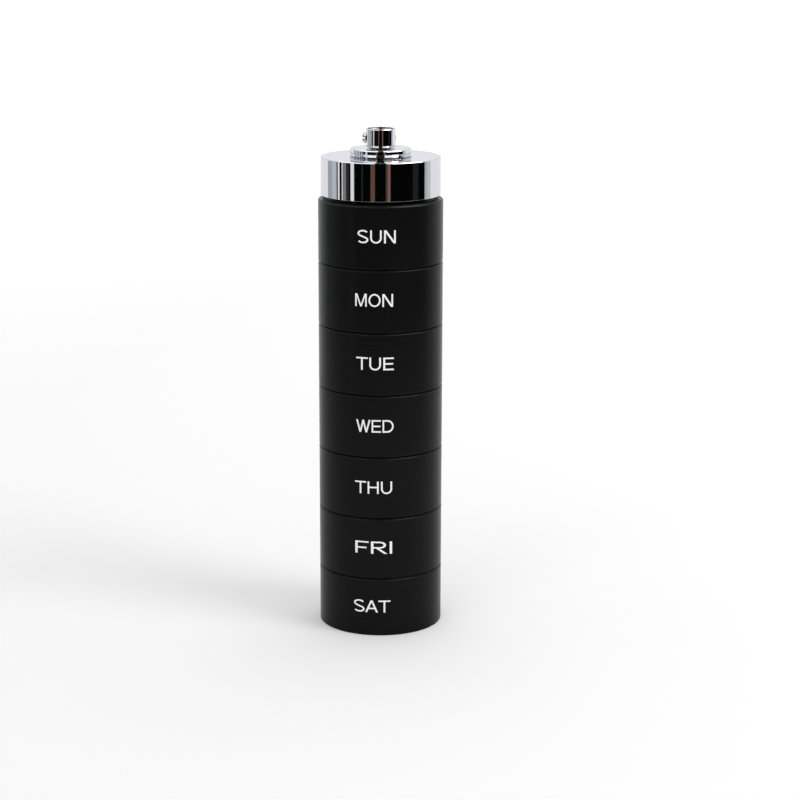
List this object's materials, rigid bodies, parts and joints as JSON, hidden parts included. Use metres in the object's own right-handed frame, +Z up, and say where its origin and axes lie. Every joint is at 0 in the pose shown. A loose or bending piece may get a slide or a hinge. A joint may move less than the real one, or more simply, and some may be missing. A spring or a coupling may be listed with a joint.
{
  "type": "screw-together pill stack",
  "caption": "Slim round pill organizer: day cups that screw end to end, closed by a chrome cap with a swivel key-ring stud.",
  "frame": {"origin": "centre of the lowest cup's flat base, on the surface the stack stands on", "axes": "+Z up the screw axis from the lowest cup to the swivel stud; the cross screw's head points to -X"},
  "size_m": [0.026, 0.026, 0.1055],
  "materials": {
    "black_anodised": "satin",
    "seal_rubber": "matte",
    "chrome": "polished",
    "screw_steel": "gloss",
    "bare_aluminium": "satin",
    "spring_steel": "satin"
  },
  "bodies": {
    "saturday": {"saturday_cup": "black_anodised"},
    "friday": {"friday_cup": "black_anodised"},
    "thursday": {"thursday_cup": "black_anodised"},
    "wednesday": {"wednesday_cup": "black_anodised"},
    "tuesday": {"tuesday_cup": "black_anodised"},
    "monday": {"monday_cup": "black_anodised"},
    "sunday": {"sunday_cup": "black_anodised"},
    "cap": {"chrome_cap": "chrome", "cap_plug": "bare_aluminium", "swivel_flange": "chrome"},
    "friday_seal": {"friday_seal_ring": "seal_rubber"},
    "thursday_seal": {"thursday_seal_ring": "seal_rubber"},
    "wednesday_seal": {"wednesday_seal_ring": "seal_rubber"},
    "tuesday_seal": {"tuesday_seal_ring": "seal_rubber"},
    "monday_seal": {"monday_seal_ring": "seal_rubber"},
    "sunday_seal": {"sunday_seal_ring": "seal_rubber"},
    "cap_seal": {"cap_seal_ring": "seal_rubber"},
    "swivel": {"swivel_stud": "chrome", "thrust_washer": "spring_steel", "retaining_clip": "spring_steel", "cross_screw": "screw_steel"}
  },
  "joints": [
    {"name": "friday_lift", "type": "slide", "parent": "saturday", "child": "friday_seal", "axis": [0, 0, 1], "range_m": [0, 0.0024]},
    {"name": "friday_twist", "type": "hinge", "parent": "friday_seal", "child": "friday", "pos_m": [0, 0, 0.01245], "axis": [0, 0, 1], "range_deg": [0, 720]},
    {"name": "thursday_lift", "type": "slide", "parent": "friday", "child": "thursday_seal", "axis": [0, 0, 1], "range_m": [0, 0.0024]},
    {"name": "thursday_twist", "type": "hinge", "parent": "thursday_seal", "child": "thursday", "pos_m": [0, 0, 0.02557], "axis": [0, 0, 1], "range_deg": [0, 720]},
    {"name": "wednesday_lift", "type": "slide", "parent": "thursday", "child": "wednesday_seal", "axis": [0, 0, 1], "range_m": [0, 0.0024]},
    {"name": "wednesday_twist", "type": "hinge", "parent": "wednesday_seal", "child": "wednesday", "pos_m": [0, 0, 0.03869], "axis": [0, 0, 1], "range_deg": [0, 720]},
    {"name": "tuesday_lift", "type": "slide", "parent": "wednesday", "child": "tuesday_seal", "axis": [0, 0, 1], "range_m": [0, 0.0024]},
    {"name": "tuesday_twist", "type": "hinge", "parent": "tuesday_seal", "child": "tuesday", "pos_m": [0, 0, 0.05181], "axis": [0, 0, 1], "range_deg": [0, 720]},
    {"name": "monday_lift", "type": "slide", "parent": "tuesday", "child": "monday_seal", "axis": [0, 0, 1], "range_m": [0, 0.0024]},
    {"name": "monday_twist", "type": "hinge", "parent": "monday_seal", "child": "monday", "pos_m": [0, 0, 0.06493], "axis": [0, 0, 1], "range_deg": [0, 720]},
    {"name": "sunday_lift", "type": "slide", "parent": "monday", "child": "sunday_seal", "axis": [0, 0, 1], "range_m": [0, 0.0024]},
    {"name": "sunday_twist", "type": "hinge", "parent": "sunday_seal", "child": "sunday", "pos_m": [0, 0, 0.07805], "axis": [0, 0, 1], "range_deg": [0, 720]},
    {"name": "cap_lift", "type": "slide", "parent": "sunday", "child": "cap_seal", "axis": [0, 0, 1], "range_m": [0, 0.0024]},
    {"name": "cap_twist", "type": "hinge", "parent": "cap_seal", "child": "cap", "pos_m": [0, 0, 0.09117], "axis": [0, 0, 1], "range_deg": [0, 720]},
    {"name": "swivel_turn", "type": "hinge", "parent": "cap", "child": "swivel", "pos_m": [0, 0, 0.09682], "axis": [0, 0, 1], "continuous": true}
  ],
  "couplings": [
    {"joint": "friday_twist", "follows": "friday_lift", "rad_per_m": 5236},
    {"joint": "thursday_twist", "follows": "thursday_lift", "rad_per_m": 5236},
    {"joint": "wednesday_twist", "follows": "wednesday_lift", "rad_per_m": 5236},
    {"joint": "tuesday_twist", "follows": "tuesday_lift", "rad_per_m": 5236},
    {"joint": "monday_twist", "follows": "monday_lift", "rad_per_m": 5236},
    {"joint": "sunday_twist", "follows": "sunday_lift", "rad_per_m": 5236},
    {"joint": "cap_twist", "follows": "cap_lift", "rad_per_m": 5236}
  ]
}
